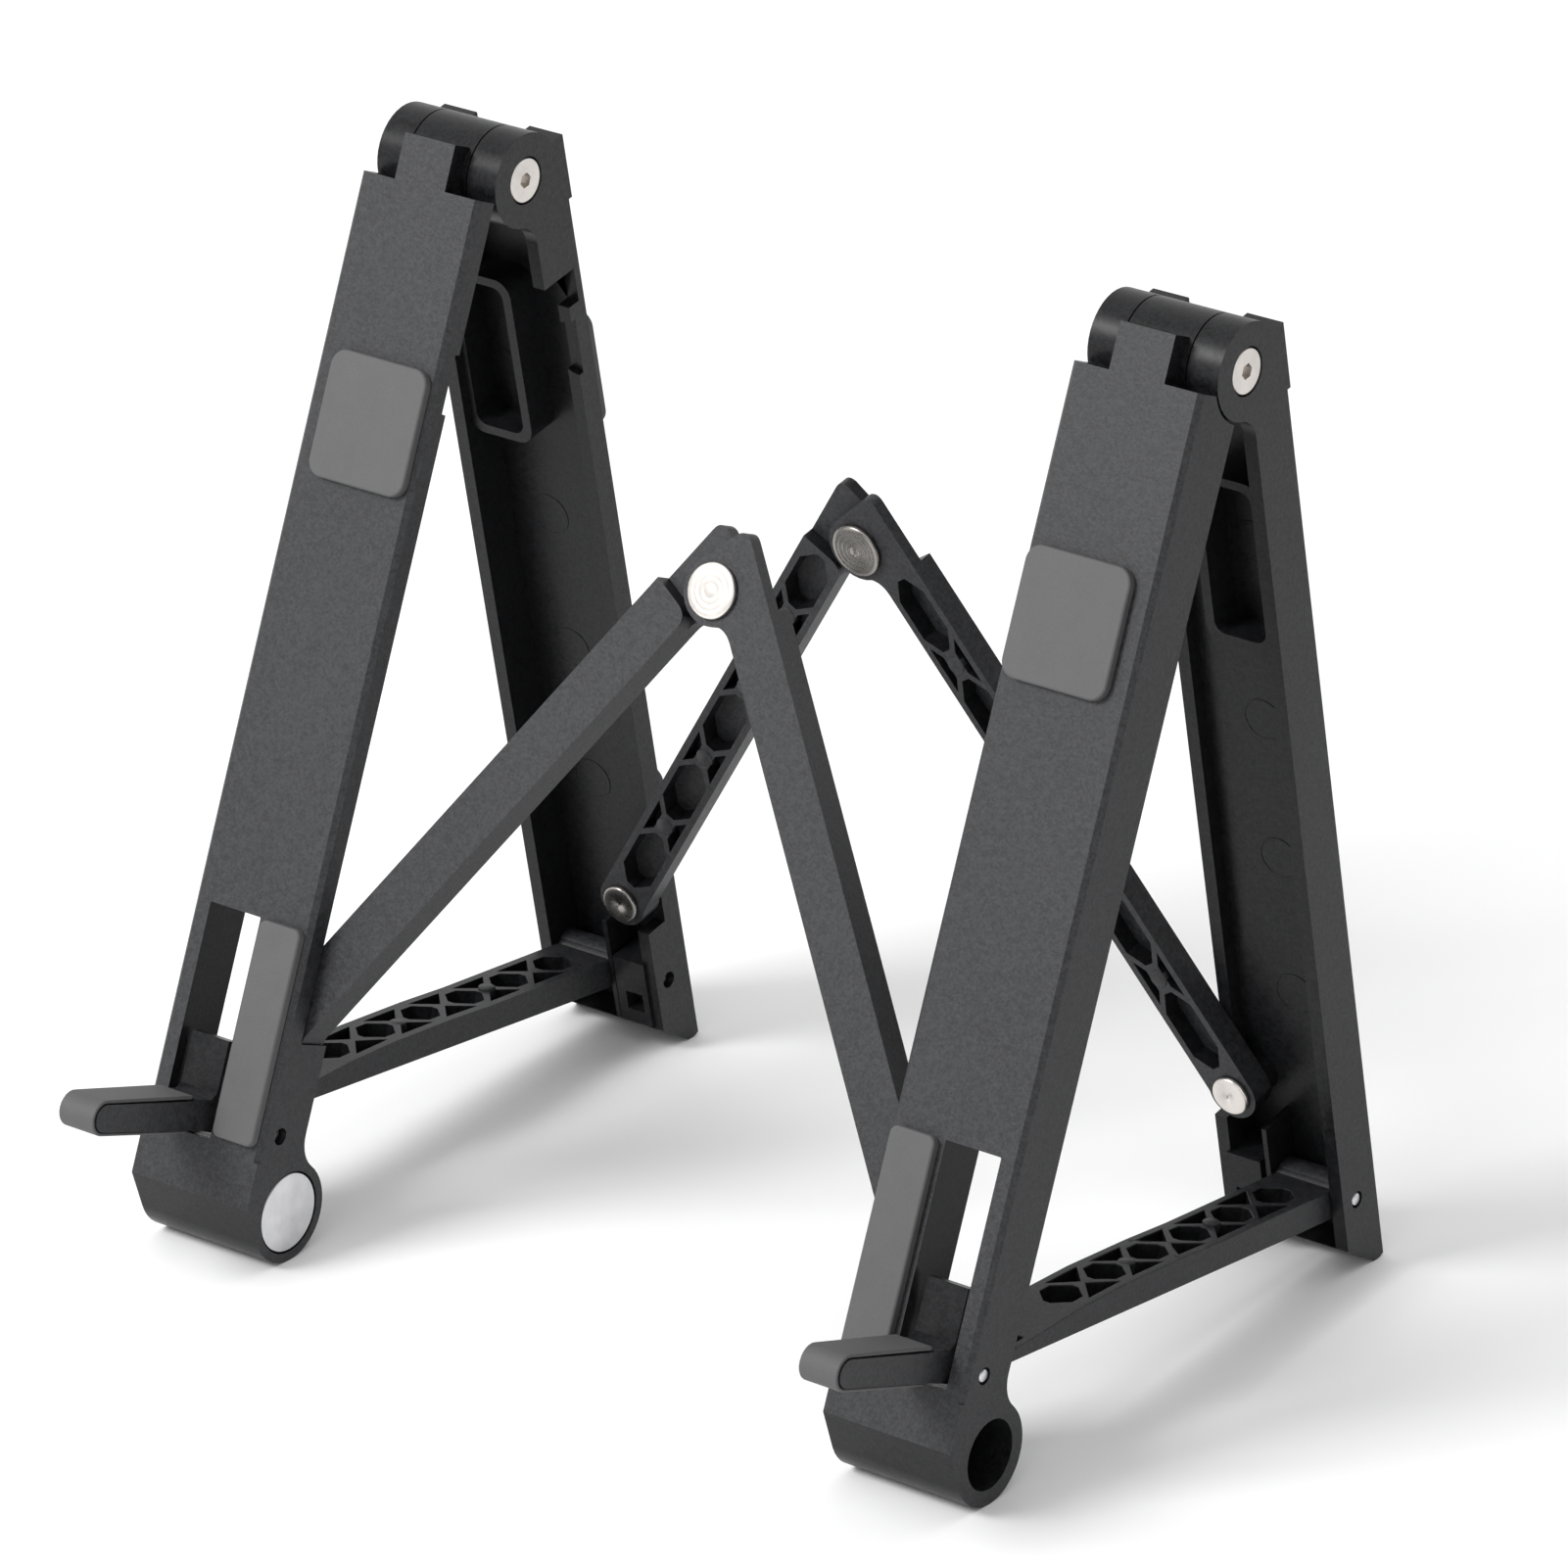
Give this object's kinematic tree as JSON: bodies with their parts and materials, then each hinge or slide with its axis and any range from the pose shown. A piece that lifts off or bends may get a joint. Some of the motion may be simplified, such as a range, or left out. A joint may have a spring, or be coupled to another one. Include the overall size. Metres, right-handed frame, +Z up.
{
  "type": "folding book stand",
  "caption": "Folding stand with twin A-frames joined by scissor links, fold-out hooks that hold the lower edge of a book, album or tablet, braced feet and soft pads.",
  "frame": {"origin": "on the floor under the middle of the bounding box", "axes": "+Z up; X across, from the left frame to the right one; the hooks and the leaning face point to -Y"},
  "size_m": [0.176, 0.1521, 0.1872],
  "materials": {
    "plastic": "fine-grained charcoal moulded plastic",
    "silicone": "smooth grey silicone",
    "nickel": "nickel-plated, turned rings on the heads",
    "steel": "satin"
  },
  "bodies": {
    "left_rear_leg": {"left_rear_leg": "plastic", "left_hinge_screw": "nickel", "left_hinge_nut": "nickel", "left_rear_pad_upper": "silicone", "left_rear_pad_lower": "silicone", "left_strut_pin": "steel", "left_rear_base_rivet": "nickel"},
    "left_front_leg": {"left_front_leg": "plastic", "left_album_pad": "silicone", "left_long_pad": "silicone", "left_hook_pin": "steel", "left_barrel_disc": "steel", "left_front_base_rivet": "nickel"},
    "left_hook": {"left_hook_arm": "plastic", "left_hook_band": "silicone"},
    "left_strut": {"left_strut": "plastic"},
    "left_front_link": {"left_front_link": "plastic", "left_front_centre_rivet": "nickel"},
    "left_rear_link": {"left_rear_link": "plastic", "left_rear_centre_rivet": "nickel"},
    "right_rear_leg": {"right_rear_leg": "plastic", "right_hinge_screw": "nickel", "right_hinge_nut": "nickel", "right_rear_pad_upper": "silicone", "right_rear_pad_lower": "silicone", "right_strut_pin": "steel", "right_rear_base_rivet": "nickel"},
    "right_front_leg": {"right_front_leg": "plastic", "right_album_pad": "silicone", "right_long_pad": "silicone", "right_hook_pin": "steel", "right_barrel_disc": "steel", "right_front_base_rivet": "nickel"},
    "right_hook": {"right_hook_arm": "plastic", "right_hook_band": "silicone"},
    "right_strut": {"right_strut": "plastic"},
    "right_front_link": {"right_front_link": "plastic"},
    "right_rear_link": {"right_rear_link": "plastic"}
  },
  "joints": [
    {"name": "leg_fold", "type": "hinge", "parent": "left_rear_leg", "child": "left_front_leg", "pos_m": [-0.075, 0.02802, 0.17869], "axis": [-1, 0, 0], "range_deg": [0, 15]},
    {"name": "leg_fold_right", "type": "hinge", "parent": "right_front_leg", "child": "right_rear_leg", "pos_m": [0.075, 0.02802, 0.17869], "axis": [-1, 0, 0], "range_deg": [-15, 0]},
    {"name": "spread", "type": "hinge", "parent": "left_front_leg", "child": "left_front_link", "pos_m": [-0.0667, -0.02872, 0.03875], "axis": [0, -0.9267, 0.3757], "range_deg": [0, 33]},
    {"name": "spread_front_centre", "type": "hinge", "parent": "left_front_link", "child": "right_front_link", "pos_m": [0, 0.00621, 0.12489], "axis": [0, -0.9267, 0.3757], "range_deg": [-66, 0]},
    {"name": "spread_front_right", "type": "hinge", "parent": "right_front_link", "child": "right_front_leg", "pos_m": [0.0667, -0.02872, 0.03875], "axis": [0, -0.9267, 0.3757], "range_deg": [0, 33]},
    {"name": "spread_rear_left", "type": "hinge", "parent": "left_rear_leg", "child": "left_rear_link", "pos_m": [-0.0667, 0.05864, 0.03083], "axis": [0, -0.9792, -0.2028], "range_deg": [0, 33]},
    {"name": "spread_rear_centre", "type": "hinge", "parent": "left_rear_link", "child": "right_rear_link", "pos_m": [0, 0.03979, 0.12184], "axis": [0, -0.9792, -0.2028], "range_deg": [-66, 0]},
    {"name": "strut_left", "type": "hinge", "parent": "left_rear_leg", "child": "left_strut", "pos_m": [-0.075, 0.06655, 0.0141], "axis": [-1, 0, 0], "range_deg": [0, 72.9]},
    {"name": "hook_left", "type": "hinge", "parent": "left_front_leg", "child": "left_hook", "pos_m": [-0.075, -0.04248, 0.02431], "axis": [-1, 0, 0], "range_deg": [0, 88]},
    {"name": "strut_right", "type": "hinge", "parent": "right_rear_leg", "child": "right_strut", "pos_m": [0.075, 0.06655, 0.0141], "axis": [-1, 0, 0], "range_deg": [0, 72.9]},
    {"name": "hook_right", "type": "hinge", "parent": "right_front_leg", "child": "right_hook", "pos_m": [0.075, -0.04248, 0.02431], "axis": [-1, 0, 0], "range_deg": [0, 88]}
  ],
  "couplings": [
    {"joint": "leg_fold_right", "follows": "leg_fold", "ratio": -1},
    {"joint": "spread_front_centre", "follows": "spread", "ratio": -2},
    {"joint": "spread_front_right", "follows": "spread", "ratio": 1},
    {"joint": "spread_rear_left", "follows": "spread", "ratio": 1},
    {"joint": "spread_rear_centre", "follows": "spread", "ratio": -2}
  ]
}
